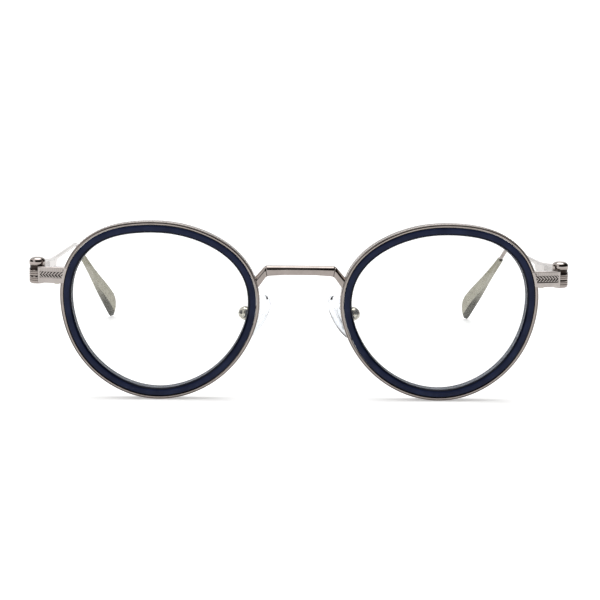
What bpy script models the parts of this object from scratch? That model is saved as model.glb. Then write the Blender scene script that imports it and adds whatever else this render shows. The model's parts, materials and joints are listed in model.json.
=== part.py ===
"""Round wire eyeglasses with navy inner rims, modelled as separate sub-parts in their open position.

Metres, +Z up. The front looks along -Y, the temples run back along +Y, and +X is the wearer's
left. Each side is built by the same functions, with side = +1 for left and -1 for right. The
dimensions below are millimetres, and depths (y) are measured back from the front of the rims.
"""

from math import cos, hypot, pi, radians, sin, tau

import bmesh
import bpy
from mathutils import Matrix, Vector

MM = 0.001
SIDES = {"left": 1, "right": -1}

# Overall placing: the rims' lowest points and the temple tips stand on z = 0.
FRONT_Y = -69.97
LENS_CENTRE_X = 35.5

# Outline of the inner rim's front edge: a mean radius with (waves, height, turn in degrees).
LENS_RADIUS = 20.89
LENS_WAVES = ((2, 1.303, 9.3), (3, 0.799, 37.5), (4, 0.08, 44.7), (5, 0.126, 30.6), (6, 0.083, -21.5))
RIM_STEPS = 72

# Rim section, as offsets outward from that edge.
INNER_RING_WIDTH = 1.97
EYEWIRE_INNER = 2.03
EYEWIRE_OUTER = 2.88
EYEWIRE_FRONT = 0.2
EYEWIRE_BACK = 4.2
RING_BACK = 4.1
GROOVE_DEPTH = 0.75
GROOVE_Y = 2.15
GROOVE_HALF = 0.6
JOIN_GAP = 0.06

# Lens: edge faces, and how far the front stands out at the middle.
LENS_FRONT = 1.25
LENS_BACK = 3.05
LENS_SAG = 1.6
LENS_FLAT = 0.55

# Where the eyewire is split, and how wide the split is.
SPLIT_ANGLE = 19.5
SPLIT_HALF = 0.35

# Hinge: a vertical barrel of three knuckles, with a domed cap on top.
HINGE_X = 66.4
HINGE_Y = 6.0
BARREL_R = 2.1
BORE_R = 0.66
PIN_R = 0.6
BARREL_BOTTOM = 28.55
MIDDLE_LOW = 30.7
MIDDLE_HIGH = 32.16
BARREL_TOP = 33.25
RUNNING_GAP = 0.06
CAP_HEIGHT = 2.0

# Endpiece plate, rim locks and their screw.
PLATE_LOW = 29.2
PLATE_HIGH = 33.25
LOCK_LOW = 29.35
LOCK_HIGH = 33.1
LOCK_FRONT = 2.42
LOCK_BACK = 4.4
LOCK_OUTER_X = 62.3
RIM_SCREW_X = 61.2
RIM_SCREW_Y = 3.4
RIM_SCREW_R = 0.48

# Bridge bar: its edges, the bends' (x, z) at both edges, and where its legs end inside the rims.
BRIDGE_LOW = 31.75
BRIDGE_HIGH = 34.05
BRIDGE_ARCH_X = 7.0
BRIDGE_LOWER_BEND = (8.45, 31.45)
BRIDGE_LEG_LOW = (12.0, 26.6)
BRIDGE_LEG_HIGH = (13.4, 28.6)
BRIDGE_UPPER_BEND_X = 8.82
BRIDGE_FRONT = 0.7
BRIDGE_BACK = 3.2

# Temple: flat front part, wire, ear bend and tip sleeve.
SPADE_START = 8.4
SPADE_END = 40.0
SPADE_THICK = 1.24
WIRE_R = 0.6
WIRE_Y = 40.0
WIRE_Z = 30.9
BEND_X = 67.0
BEND_Y = 97.0
BEND_Z = 29.0
BEND_RADIUS = 14.0
TIP_X = 59.6
TIP_Y = 139.2
TIP_Z = 0.78
SLEEVE_START = 4.8
SOCKET_DEPTH = 14.0
SOCKET_R = 0.67
TIP_THICK = 1.5
PADDLE_TWIST = 14.0

# Nose pads: the pad screw's place, the pad's long and facing directions, and the arm's route.
PAD_X = 13.9
PAD_Y = 7.6
PAD_Z = 21.15
PAD_LONG = (0.56, 0.0, -0.83)
PAD_FACING = (-0.77, 0.50, -0.40)
PAD_OFFSET = 3.7
PAD_HALF = (6.5, 3.85, 1.2)
PAD_BOX_R = 1.75
PAD_SCREW_R = 0.37
PAD_WIRE_R = 0.45
ARM_LEAVES = (-0.637, -0.557, 0.532)
ARM_ROUTE = ((10.6, 4.27, 22.9), (10.55, 5.0, 22.95), (10.85, 5.65, 22.9), (11.4, 6.0, 22.7))


def rim_point(angle, offset):
    """Point of the rim outline, pushed outward by offset, from the lens centre (temple side +x)."""
    radius = LENS_RADIUS
    slope = 0.0
    for waves, height, turn in LENS_WAVES:
        phase = waves * (angle - radians(turn))
        radius += height * cos(phase)
        slope -= waves * height * sin(phase)
    length = hypot(radius, slope)
    nx = (radius * cos(angle) + slope * sin(angle)) / length
    nz = (radius * sin(angle) - slope * cos(angle)) / length
    return radius * cos(angle) + offset * nx, radius * sin(angle) + offset * nz


def rim_outline(side, offset, start=0.0, end=360.0):
    """The outline as counter-clockwise points; a full turn is left open for a cyclic spline."""
    full = end - start >= 360.0
    count = RIM_STEPS if full else RIM_STEPS + 1
    step = radians(end - start) / RIM_STEPS
    points = [rim_point(radians(start) + i * step, offset) for i in range(count)]
    if side < 0:
        points = [(-x, z) for x, z in reversed(points)]
    return points


RIM_CENTRE_Z = -min(z for x, z in rim_outline(1, EYEWIRE_OUTER))
SPLIT_Z = RIM_CENTRE_Z + rim_point(radians(SPLIT_ANGLE), EYEWIRE_OUTER)[1]


def at(side, x, y, z):
    """World position in metres of a point given in millimetres from the front's middle."""
    return Vector((side * x, FRONT_Y + y, z)) * MM


def new_collection(name):
    found = bpy.data.collections.get(name)
    if found:
        return found
    made = bpy.data.collections.new(name)
    bpy.context.scene.collection.children.link(made)
    return made


def material(name, colour, roughness, metallic=0.0, transmission=0.0):
    made = bpy.data.materials.get(name)
    if made:
        return made
    made = bpy.data.materials.new(name)
    made.use_nodes = True
    shader = made.node_tree.nodes["Principled BSDF"]
    shader.inputs["Base Color"].default_value = (*colour, 1.0)
    shader.inputs["Roughness"].default_value = roughness
    shader.inputs["Metallic"].default_value = metallic
    shader.inputs["Transmission Weight"].default_value = transmission
    made.diffuse_color = (*colour, 1.0)
    return made


def link(obj, group):
    for old in list(obj.users_collection):
        old.objects.unlink(obj)
    group.objects.link(obj)
    return obj


def part(obj, look, smooth=False):
    """Put a finished shape among the parts."""
    link(obj, PARTS)
    obj.data.materials.clear()
    obj.data.materials.append(look)
    for face in obj.data.polygons:
        face.use_smooth = smooth
    return obj


def tool(obj):
    """Keep a shape only to cut or join with."""
    link(obj, TOOLS)
    obj.hide_render = True
    obj.display_type = "WIRE"
    return obj


def combine(obj, other, operation):
    made = obj.modifiers.new(f"{operation.lower()} {other.name}", "BOOLEAN")
    made.operation = operation
    made.solver = "EXACT"
    made.object = tool(other)
    return obj


def mesh_object(name, build):
    """New mesh object whose geometry build(bm) draws in millimetres."""
    bm = bmesh.new()
    build(bm)
    bmesh.ops.scale(bm, vec=(MM, MM, MM), verts=bm.verts)
    data = bpy.data.meshes.new(name)
    bm.to_mesh(data)
    bm.free()
    return link(bpy.data.objects.new(name, data), PARTS)


def curve_object(name, points, cyclic, flat):
    data = bpy.data.curves.new(name, "CURVE")
    data.dimensions = "2D" if flat else "3D"
    data.fill_mode = "NONE" if flat else "FULL"
    spline = data.splines.new("POLY")
    spline.points.add(len(points) - 1)
    for target, point in zip(spline.points, points):
        target.co = (*(Vector(point).to_3d() * MM), 1.0)
    spline.use_cyclic_u = cyclic
    return link(bpy.data.objects.new(name, data), TOOLS)


def meshed(curve):
    """Turn a curve object into a mesh object of the same name and place, with welded caps."""
    bpy.context.view_layer.update()
    graph = bpy.context.evaluated_depsgraph_get()
    data = bpy.data.meshes.new_from_object(curve.evaluated_get(graph))
    bm = bmesh.new()
    bm.from_mesh(data)
    bmesh.ops.remove_doubles(bm, verts=bm.verts, dist=1e-6)
    bm.to_mesh(data)
    bm.free()
    name = curve.name
    matrix = curve.matrix_world.copy()
    bpy.data.objects.remove(curve)
    made = link(bpy.data.objects.new(name, data), PARTS)
    made.matrix_world = matrix
    return made


def plate(name, outline, low, high, upright=None):
    """Flat outline between two heights: (x, y) outlines rise in z, upright ones are (x, z) or (y, z)."""
    curve = curve_object(name, outline, True, True)
    curve.data.fill_mode = "BOTH"
    curve.data.extrude = (high - low) / 2 * MM
    middle = (low + high) / 2 * MM
    if upright == "front":
        curve.rotation_euler = (pi / 2, 0, 0)
        curve.location = (0, middle, 0)
    elif upright == "side":
        curve.rotation_euler = (pi / 2, 0, pi / 2)
        curve.location = (middle, 0, 0)
    else:
        curve.location = (0, 0, middle)
    return meshed(curve)


def wire(name, points, radius):
    """Round wire along a list of points."""
    curve = curve_object(name, points, False, False)
    curve.data.bevel_depth = radius * MM
    curve.data.bevel_resolution = 2
    curve.data.use_fill_caps = True
    return meshed(curve)


def rod(name, radius, start, end, segments=16):
    """Cylinder between two points in millimetres."""
    a, b = Vector(start), Vector(end)
    turn = (b - a).to_track_quat("Z", "Y")
    bpy.ops.mesh.primitive_cylinder_add(
        vertices=segments, radius=radius * MM, depth=(b - a).length * MM,
        location=(a + b) / 2 * MM, rotation=turn.to_euler())
    obj = bpy.context.object
    obj.name = name
    return link(obj, PARTS)


def block(name, low, high):
    """Box between two corners in millimetres."""
    a, b = Vector(low), Vector(high)
    bpy.ops.mesh.primitive_cube_add(size=MM, location=(a + b) / 2 * MM)
    obj = bpy.context.object
    obj.name = name
    size = b - a
    obj.data.transform(Matrix.Diagonal((size.x, size.y, size.z, 1.0)))
    return link(obj, PARTS)


def turned(name, profile, location, steps=24):
    """Profile of (radius, height) points spun about a vertical axis; it starts and ends on the axis."""
    def draw(bm):
        points = [bm.verts.new((r, 0, z)) for r, z in profile]
        for a, b in zip(points, points[1:]):
            bm.edges.new((a, b))
    obj = mesh_object(name, draw)
    obj.location = location
    screw = obj.modifiers.new("turn", "SCREW")
    screw.steps = steps
    screw.render_steps = steps
    screw.use_merge_vertices = True
    screw.merge_threshold = 1e-6
    screw.use_smooth_shade = False
    return obj


def edge_bevel(obj, width, segments=1):
    made = obj.modifiers.new("rounded edges", "BEVEL")
    made.width = width * MM
    made.segments = segments
    made.limit_method = "ANGLE"
    made.angle_limit = radians(35)
    return obj


def loft(name, rings):
    """Solid skin over rings of equal length, closed by a flat face at each end."""
    def draw(bm):
        rows = [[bm.verts.new(p) for p in ring] for ring in rings]
        for low, high in zip(rows, rows[1:]):
            for i in range(len(low)):
                j = (i + 1) % len(low)
                bm.faces.new((low[i], low[j], high[j], high[i]))
        bm.faces.new(rows[0])
        bm.faces.new(rows[-1])
        bmesh.ops.recalc_face_normals(bm, faces=bm.faces)
    return mesh_object(name, draw)


def carry(obj, empty):
    """Hang a shape drawn in world position on a joint's empty."""
    bpy.context.view_layer.update()
    obj.parent = empty
    obj.matrix_parent_inverse = empty.matrix_world.inverted()
    return obj


def pivot(name, location, rotation=None):
    empty = bpy.data.objects.new(name, None)
    empty.empty_display_size = 3 * MM
    empty.location = location
    if rotation:
        empty.rotation_euler = rotation.to_euler()
    PARTS.objects.link(empty)
    bpy.context.view_layer.update()
    return empty


def swept_rim(name, side, section, start, end):
    """Section of (offset, depth) points carried round the rim outline."""
    cyclic = end - start >= 360.0
    path = curve_object(name, rim_outline(side, 0.0, start, end), cyclic, True)
    across = -1 if cyclic else 1
    shape = curve_object(f"{name}_section", [(across * d, -y) for d, y in section], True, True)
    path.data.bevel_mode = "OBJECT"
    path.data.bevel_object = shape
    path.data.use_fill_caps = True
    path.rotation_euler = (pi / 2, 0, 0)
    path.location = at(side, LENS_CENTRE_X, 0, RIM_CENTRE_Z)
    made = meshed(path)
    bpy.data.objects.remove(shape)
    return made


def rim_cutter(name, side):
    """Everything inside the eyewire's outer face, with a joining gap, for trimming what meets it."""
    outline = rim_outline(side, EYEWIRE_OUTER + JOIN_GAP)
    placed = [(x + side * LENS_CENTRE_X, z + RIM_CENTRE_Z) for x, z in outline]
    return plate(name, placed, FRONT_Y - 2, FRONT_Y + 8, upright="front")


def build_eyewire(word, side):
    section = (
        (EYEWIRE_INNER, 0.35), (2.18, EYEWIRE_FRONT), (2.73, EYEWIRE_FRONT), (EYEWIRE_OUTER, 0.35),
        (EYEWIRE_OUTER, 4.05), (2.73, EYEWIRE_BACK), (2.18, EYEWIRE_BACK), (EYEWIRE_INNER, 4.05),
    )
    start = SPLIT_ANGLE + SPLIT_HALF
    part(swept_rim(f"{word}_eyewire", side, section, start, start + 360 - 2 * SPLIT_HALF), METAL, True)


def build_inner_ring(word, side):
    width = INNER_RING_WIDTH
    section = (
        (width, 0.25), (width - 0.2, 0.0), (0.75, 0.0), (0.0, 0.7),
        (0.0, GROOVE_Y - GROOVE_HALF), (GROOVE_DEPTH, GROOVE_Y), (0.0, GROOVE_Y + GROOVE_HALF),
        (0.0, 3.85), (0.25, RING_BACK), (width - 0.2, RING_BACK), (width, 3.9),
    )
    part(swept_rim(f"{word}_inner_ring", side, section, 0.0, 360.0), ACETATE, True)


def build_lens(word, side):
    """Meniscus lens with a V edge that sits in the inner ring's groove."""
    half = GROOVE_HALF - JOIN_GAP
    rows = (
        (LENS_FLAT, -JOIN_GAP, LENS_FRONT), (1.0, -JOIN_GAP, LENS_FRONT),
        (1.0, -JOIN_GAP, GROOVE_Y - half), (1.0, GROOVE_DEPTH - 1.5 * JOIN_GAP, GROOVE_Y),
        (1.0, -JOIN_GAP, GROOVE_Y + half), (1.0, -JOIN_GAP, LENS_BACK), (LENS_FLAT, -JOIN_GAP, LENS_BACK),
    )
    rings = []
    for scale, offset, depth in rows:
        y = depth - LENS_SAG * (1 - scale * scale)
        rings.append([(x * scale, y, z * scale) for x, z in rim_outline(side, offset)])
    lens = loft(f"{word}_lens", rings)
    lens.location = at(side, LENS_CENTRE_X, 0, RIM_CENTRE_Z)
    part(lens, GLASS, True)


def build_bridge():
    """Flat-fronted bar that turns down at both ends to meet the eyewires."""
    half = [(BRIDGE_ARCH_X, BRIDGE_LOW), BRIDGE_LOWER_BEND, BRIDGE_LEG_LOW, BRIDGE_LEG_HIGH,
            (BRIDGE_UPPER_BEND_X, BRIDGE_HIGH)]
    outline = half + [(-x, z) for x, z in reversed(half)]
    bar = plate("bridge", outline, FRONT_Y + BRIDGE_FRONT, FRONT_Y + BRIDGE_BACK, upright="front")
    edge_bevel(bar, 0.35, 2)
    for word, side in SIDES.items():
        combine(bar, rim_cutter(f"{word}_bridge_trim", side), "DIFFERENCE")
    part(bar, METAL)


def build_endpiece(word, side):
    """Plate from the rim to the hinge, joined to the front's two knuckles."""
    x, y = HINGE_X, HINGE_Y
    plan = (
        (57.0, -0.1), (59.4, 0.35), (65.1, 1.8), (65.7, 2.2), (65.95, 2.85), (66.2, 4.1), (HINGE_X, 6.0),
        (65.0, 5.6), (64.3, 4.3), (63.3, 2.6), (59.2, 1.5), (57.0, 1.0),
    )
    outline = [(side * px, FRONT_Y + py) for px, py in plan]
    body = plate(f"{word}_endpiece", outline, PLATE_LOW, PLATE_HIGH)
    axis = at(side, x, y, 0)
    low = turned(f"{word}_low_knuckle", (
        (0, MIDDLE_LOW - RUNNING_GAP), (BARREL_R - 0.1, MIDDLE_LOW - RUNNING_GAP),
        (BARREL_R, MIDDLE_LOW - RUNNING_GAP - 0.1), (BARREL_R, BARREL_BOTTOM + 0.6),
        (BARREL_R - 0.3, BARREL_BOTTOM + 0.15), (BARREL_R - 0.8, BARREL_BOTTOM), (0, BARREL_BOTTOM)), axis)
    high = turned(f"{word}_high_knuckle", (
        (0, BARREL_TOP), (BARREL_R - 0.3, BARREL_TOP), (BARREL_R - 0.3, MIDDLE_HIGH + RUNNING_GAP),
        (0, MIDDLE_HIGH + RUNNING_GAP)), axis)
    combine(body, low, "UNION")
    combine(body, high, "UNION")
    cuts = (
        ("middle_space", BARREL_R + 0.12, MIDDLE_LOW - RUNNING_GAP, MIDDLE_HIGH + RUNNING_GAP, 32),
        ("cap_space", BARREL_R + 0.12, BARREL_TOP, PLATE_HIGH + 1, 32),
        ("pin_space", BORE_R, BARREL_BOTTOM - 1, BARREL_TOP + 1, 16),
    )
    for label, radius, bottom, top, segments in cuts:
        start = (side * x, FRONT_Y + y, bottom)
        end = (side * x, FRONT_Y + y, top)
        combine(body, rod(f"{word}_{label}", radius, start, end, segments), "DIFFERENCE")
    combine(body, rim_cutter(f"{word}_endpiece_trim", side), "DIFFERENCE")
    part(body, METAL)


def build_rim_lock(word, side):
    """Two blocks on the eyewire's ends, drawn together by a vertical screw from below."""
    for label, low, high in (
            ("upper", SPLIT_Z + JOIN_GAP, LOCK_HIGH), ("lower", LOCK_LOW, SPLIT_Z - JOIN_GAP)):
        edges = sorted((side * (LOCK_OUTER_X - 4), side * LOCK_OUTER_X))
        lock = block(f"{word}_rim_lock_{label}",
                     (edges[0], FRONT_Y + LOCK_FRONT, low), (edges[1], FRONT_Y + LOCK_BACK, high))
        edge_bevel(lock, 0.2)
        combine(lock, rim_cutter(f"{word}_{label}_lock_trim", side), "DIFFERENCE")
        hole = rod(f"{word}_{label}_lock_hole", RIM_SCREW_R + 0.08,
                   (side * RIM_SCREW_X, FRONT_Y + RIM_SCREW_Y, LOCK_LOW - 1),
                   (side * RIM_SCREW_X, FRONT_Y + RIM_SCREW_Y, LOCK_HIGH - 0.6))
        combine(lock, hole, "DIFFERENCE")
        part(lock, METAL)
    head = LOCK_LOW - 0.06
    screw = turned(f"{word}_rim_screw", (
        (0, LOCK_HIGH - 0.8), (RIM_SCREW_R, LOCK_HIGH - 0.9), (RIM_SCREW_R, head), (0.85, head),
        (0.85, head - 0.35), (0.6, head - 0.55), (0, head - 0.6)),
        at(side, RIM_SCREW_X, RIM_SCREW_Y, 0), 16)
    part(screw, STEEL, True)


def build_hinge_fittings(word, side):
    axis = at(side, HINGE_X, HINGE_Y, 0)
    seat = BARREL_TOP + JOIN_GAP
    part(turned(f"{word}_hinge_screw", (
        (0, seat + 0.6), (0.75, seat + 0.55), (0.95, seat + 0.35), (0.95, seat), (PIN_R, seat),
        (PIN_R, BARREL_BOTTOM + 0.1), (0.45, BARREL_BOTTOM), (0, BARREL_BOTTOM)), axis, 16), STEEL, True)
    top = seat + CAP_HEIGHT
    part(turned(f"{word}_hinge_cap", (
        (0, top), (0.85, top - 0.08), (1.55, top - 0.4), (1.95, top - 0.9), (BARREL_R, top - 1.4),
        (BARREL_R, seat + 0.1), (BARREL_R - 0.1, seat), (1.15, seat), (1.15, seat + 0.75), (0, seat + 0.75)),
        axis), METAL, True)


def temple_line(side):
    """Wire points from inside the flat part, round the ear bend and down towards the tip's end."""
    start = Vector((HINGE_X, WIRE_Y - 3, WIRE_Z))
    lead = Vector((HINGE_X, WIRE_Y, WIRE_Z))
    corner = Vector((BEND_X, BEND_Y, BEND_Z))
    end = Vector((TIP_X, TIP_Y, TIP_Z))
    back = (lead - corner).normalized()
    down = (end - corner).normalized()
    turn = pi - back.angle(down)
    reach = BEND_RADIUS * sin(turn / 2) / cos(turn / 2)
    bend_in = corner + back * reach
    bend_out = corner + down * reach
    centre = corner + (back + down).normalized() * (BEND_RADIUS / cos(turn / 2))
    points = [start, lead]
    steps = 6
    for i in range(steps + 1):
        share = i / steps
        spoke = (bend_in - centre).lerp(bend_out - centre, share).normalized()
        points.append(centre + spoke * BEND_RADIUS)
    world = [Vector((side * p.x, FRONT_Y + p.y, p.z)) for p in points]
    direction = Vector((side * down.x, down.y, down.z))
    return world, direction, (end - bend_out).length


def build_temple(word, side, hinge):
    """Middle knuckle, flat front part and wire, as one bent and brazed arm."""
    tang_low = MIDDLE_LOW + 0.05
    tang_high = MIDDLE_HIGH - 0.05
    profile = (
        (HINGE_Y + 1.2, tang_low), (SPADE_START, tang_low), (SPADE_START, 30.0), (8.9, 29.6),
        (SPADE_END - 1.2, 28.85), (SPADE_END - 0.2, 29.2), (SPADE_END, WIRE_Z - 0.62),
        (SPADE_END, WIRE_Z + 0.62), (26.0, 32.55), (16.0, 33.4), (9.0, 33.6), (SPADE_START, 33.2),
        (SPADE_START, tang_high), (HINGE_Y + 1.2, tang_high),
    )
    middle = side * HINGE_X
    arm = plate(f"{word}_temple", [(FRONT_Y + y, z) for y, z in profile],
                middle - SPADE_THICK / 2, middle + SPADE_THICK / 2, upright="side")
    knuckle = rod(f"{word}_middle_knuckle", BARREL_R, (middle, FRONT_Y + HINGE_Y, MIDDLE_LOW),
                  (middle, FRONT_Y + HINGE_Y, MIDDLE_HIGH), 32)
    combine(arm, knuckle, "UNION")
    line, down, _ = temple_line(side)
    line.append(line[-1] + down * (SLEEVE_START + SOCKET_DEPTH - 0.6))
    combine(arm, wire(f"{word}_temple_wire", line, WIRE_R), "UNION")
    bore = rod(f"{word}_middle_bore", BORE_R, (middle, FRONT_Y + HINGE_Y, MIDDLE_LOW - 1),
               (middle, FRONT_Y + HINGE_Y, MIDDLE_HIGH + 1))
    combine(arm, bore, "DIFFERENCE")
    carry(part(arm, METAL), hinge)


def build_temple_tip(word, side, hinge):
    """Sleeve over the wire that widens to a flat paddle with a straight lower edge."""
    line, down, length = temple_line(side)
    start = line[-1] + down * SLEEVE_START
    length -= SLEEVE_START
    level = down.cross(Vector((0, 0, 1))).normalized()
    upward = level.cross(down).normalized()
    if upward.z < 0:
        upward.negate()
    inward = Vector((-side, 0, 0))
    inward = (inward - down * inward.dot(down)).normalized()
    widths = (
        (0.0, 1.9, 1.7), (0.2, 2.55, 1.65), (0.4, 3.35, TIP_THICK), (0.6, 4.3, TIP_THICK),
        (0.75, 5.1, TIP_THICK), (0.84, 5.4, TIP_THICK), (0.91, 5.0, 1.45), (0.96, 4.0, 1.35), (1.0, 2.4, 1.1),
    )
    rings = []
    for share, width, thick in widths:
        lean = radians(PADDLE_TWIST) * min(1.0, share / 0.6)
        across = (upward * cos(lean) + inward * sin(lean)).normalized()
        face = across.cross(down).normalized()
        centre = start + down * (length * share) + across * (width / 2 - 0.95)
        round_edge = min(width, thick) * 0.5
        ring = []
        for i in range(16):
            angle = tau * i / 16
            straight = (width / 2 - round_edge) * (1 if cos(angle) > 0 else -1)
            u = straight + round_edge * cos(angle)
            v = thick / 2 * sin(angle)
            ring.append(centre + across * u + face * v)
        rings.append(ring)
    sleeve = loft(f"{word}_temple_tip", rings)
    socket_start = start - down * 1.0
    socket = wire(f"{word}_tip_socket", [socket_start, start + down * SOCKET_DEPTH], SOCKET_R)
    combine(sleeve, socket, "DIFFERENCE")
    carry(part(sleeve, TIP, True), hinge)


def pad_frame(side):
    """Pad screw's place, and axes: along the pad, along the screw, and towards the nose."""
    facing = Vector((side * PAD_FACING[0], PAD_FACING[1], PAD_FACING[2])).normalized()
    along = Vector((side * PAD_LONG[0], PAD_LONG[1], PAD_LONG[2]))
    along = (along - facing * along.dot(facing)).normalized()
    screw = facing.cross(along)
    turn = Matrix((along, screw, facing)).transposed()
    return at(side, PAD_X, PAD_Y, PAD_Z), turn


def in_pad_frame(obj, place, turn, extra=None):
    """Move a shape drawn about the pad screw to its place."""
    local = extra if extra else Matrix.Identity(4)
    obj.matrix_world = Matrix.Translation(place) @ turn.to_4x4() @ local @ obj.matrix_basis
    return obj


def oval(half_long, half_wide, count=20):
    return [(half_long * cos(tau * i / count), half_wide * sin(tau * i / count)) for i in range(count)]


def tab_outline(radius, low, high):
    """Round end about the pad screw, with straight sides up to the core plate, as (x, z)."""
    arc = [(radius * cos(pi + pi * i / 8), radius * sin(pi + pi * i / 8) + low) for i in range(9)]
    return arc + [(radius, high), (-radius, high)]


def build_pad_mount(word, side):
    """Arm from the eyewire's back to a round pad box, with the screw that the pad rocks on."""
    place, turn = pad_frame(side)
    box = turned(f"{word}_pad_box", (
        (0, 0.95), (PAD_BOX_R - 0.15, 0.95), (PAD_BOX_R, 0.8), (PAD_BOX_R, -0.2), (1.55, -0.9), (1.1, -1.35),
        (0.5, -1.6), (0, -1.65)), (0, 0, 0), 24)
    in_pad_frame(box, place, turn)
    slot = in_pad_frame(block(f"{word}_pad_slot", (-2.5, -0.5, -1.0), (2.5, 0.5, 1.5)), place, turn)
    combine(box, slot, "DIFFERENCE")
    hole = in_pad_frame(rod(f"{word}_pad_screw_hole", 0.43, (0, -2.5, 0), (0, 2.5, 0), 12), place, turn)
    combine(box, hole, "DIFFERENCE")
    part(box, METAL, False)
    upright = Matrix.Rotation(-side * pi / 2, 4, "X")
    screw = turned(f"{word}_pad_screw", (
        (0, 2.2), (0.55, 2.15), (0.68, 2.0), (0.68, 1.82), (PAD_SCREW_R, 1.82), (PAD_SCREW_R, -1.7), (0, -1.7)),
        (0, 0, 0), 12)
    part(in_pad_frame(screw, place, turn, upright), STEEL, True)
    facing = turn.col[2]
    away = Vector((side * ARM_LEAVES[0], ARM_LEAVES[1], ARM_LEAVES[2]))
    away = (away - facing * away.dot(facing)).normalized()
    landing = place / MM + facing * 0.3 + away * (PAD_BOX_R + JOIN_GAP)
    route = [(side * x, FRONT_Y + y, z) for x, y, z in ARM_ROUTE]
    route += [landing + away * 0.8, landing]
    arm = wire(f"{word}_pad_arm", route, PAD_WIRE_R)
    part(arm, METAL, True)


def build_nose_pad(word, side, rocker):
    """Stiff core with a tab on the pad screw, moulded into a soft clear pad."""
    place, turn = pad_frame(side)
    middle = PAD_OFFSET
    core = plate(f"{word}_pad_core", tab_outline(0.72, 0.0, middle), -0.38, 0.38, upright="front")
    in_pad_frame(core, place, turn)
    wings = plate(f"{word}_core_wings", oval(3.0, 1.5), middle - 0.25, middle + 0.25)
    combine(core, in_pad_frame(wings, place, turn), "UNION")
    hole = in_pad_frame(rod(f"{word}_core_hole", 0.43, (0, -2, 0), (0, 2, 0), 12), place, turn)
    combine(core, hole, "DIFFERENCE")
    carry(part(core, CORE), rocker)

    def draw(bm):
        bmesh.ops.create_uvsphere(bm, u_segments=24, v_segments=10, radius=1.0)
        bmesh.ops.scale(bm, vec=PAD_HALF, verts=bm.verts)
        bmesh.ops.translate(bm, vec=(0, 0, middle), verts=bm.verts)
    pad = in_pad_frame(mesh_object(f"{word}_nose_pad", draw), place, turn)
    pocket = plate(f"{word}_pad_pocket", oval(3.07, 1.57), middle - 0.32, middle + 0.32)
    combine(pad, in_pad_frame(pocket, place, turn), "DIFFERENCE")
    mouth = block(f"{word}_pad_mouth", (-0.8, -0.46, 0.5), (0.8, 0.46, middle))
    combine(pad, in_pad_frame(mouth, place, turn), "DIFFERENCE")
    carry(part(pad, SILICONE, True), rocker)


for old in list(bpy.data.objects):
    bpy.data.objects.remove(old)
PARTS = new_collection("round_wire_eyeglasses")
TOOLS = new_collection("cutters")
METAL = material("antique_pewter_metal", (0.40, 0.36, 0.34), 0.28, 1.0)
STEEL = material("screw_steel", (0.55, 0.54, 0.53), 0.25, 1.0)
TIP = material("champagne_tip_metal", (0.45, 0.43, 0.37), 0.35, 1.0)
ACETATE = material("navy_acetate", (0.012, 0.016, 0.045), 0.12)
GLASS = material("clear_lens", (0.95, 0.97, 0.97), 0.02, 0.0, 1.0)
SILICONE = material("clear_silicone", (0.9, 0.92, 0.93), 0.15, 0.0, 0.9)
CORE = material("pad_core_nylon", (0.75, 0.76, 0.76), 0.4)

build_bridge()
for word, side in SIDES.items():
    build_eyewire(word, side)
    build_inner_ring(word, side)
    build_lens(word, side)
    build_endpiece(word, side)
    build_rim_lock(word, side)
    build_hinge_fittings(word, side)
    build_pad_mount(word, side)
    hinge = pivot(f"{word}_temple_hinge", at(side, HINGE_X, HINGE_Y, MIDDLE_LOW))
    build_temple(word, side, hinge)
    build_temple_tip(word, side, hinge)
    place, turn = pad_frame(side)
    rocker = pivot(f"{word}_pad_rocker", place, turn)
    build_nose_pad(word, side, rocker)
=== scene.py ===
"""Round wire eyeglasses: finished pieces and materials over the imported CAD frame.

Lengths in this file are millimetres until make() turns them into metres. Depths are measured
back from the front of the rims, and side = +1 is the wearer's left.
"""

import json
from math import cos, hypot, pi, radians, sin, tau

import bmesh
import bpy
import numpy as np
from mathutils import Matrix, Vector


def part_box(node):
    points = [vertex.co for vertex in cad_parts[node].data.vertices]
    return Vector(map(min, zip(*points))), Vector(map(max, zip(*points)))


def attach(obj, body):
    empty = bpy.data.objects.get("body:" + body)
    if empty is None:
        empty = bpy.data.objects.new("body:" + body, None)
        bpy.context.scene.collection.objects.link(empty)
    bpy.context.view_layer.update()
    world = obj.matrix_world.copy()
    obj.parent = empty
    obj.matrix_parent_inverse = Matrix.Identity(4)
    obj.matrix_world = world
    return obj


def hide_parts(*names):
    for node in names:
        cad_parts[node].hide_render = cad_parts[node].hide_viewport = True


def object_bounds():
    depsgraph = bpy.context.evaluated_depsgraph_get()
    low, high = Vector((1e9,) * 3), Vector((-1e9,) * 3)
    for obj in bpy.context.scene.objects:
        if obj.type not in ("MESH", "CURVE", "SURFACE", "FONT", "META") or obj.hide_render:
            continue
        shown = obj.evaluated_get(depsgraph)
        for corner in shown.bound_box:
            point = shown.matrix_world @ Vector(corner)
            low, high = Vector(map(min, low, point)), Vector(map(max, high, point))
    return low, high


MM = 0.001
SIDES = {"left": 1, "right": -1}

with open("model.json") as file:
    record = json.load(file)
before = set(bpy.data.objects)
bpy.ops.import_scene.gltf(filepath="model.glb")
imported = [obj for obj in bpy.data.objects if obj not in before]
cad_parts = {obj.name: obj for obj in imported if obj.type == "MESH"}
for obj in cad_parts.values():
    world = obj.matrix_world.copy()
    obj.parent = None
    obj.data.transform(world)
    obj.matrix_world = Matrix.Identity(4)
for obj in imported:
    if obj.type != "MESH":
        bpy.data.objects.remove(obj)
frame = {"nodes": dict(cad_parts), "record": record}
CAD_LOW, CAD_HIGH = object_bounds()
FRONT = CAD_LOW.y / MM
FLOOR = CAD_LOW.z / MM
JOINTS = {joint["name"]: joint for joint in frame["record"]["behaviour"]["joints"]}

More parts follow.
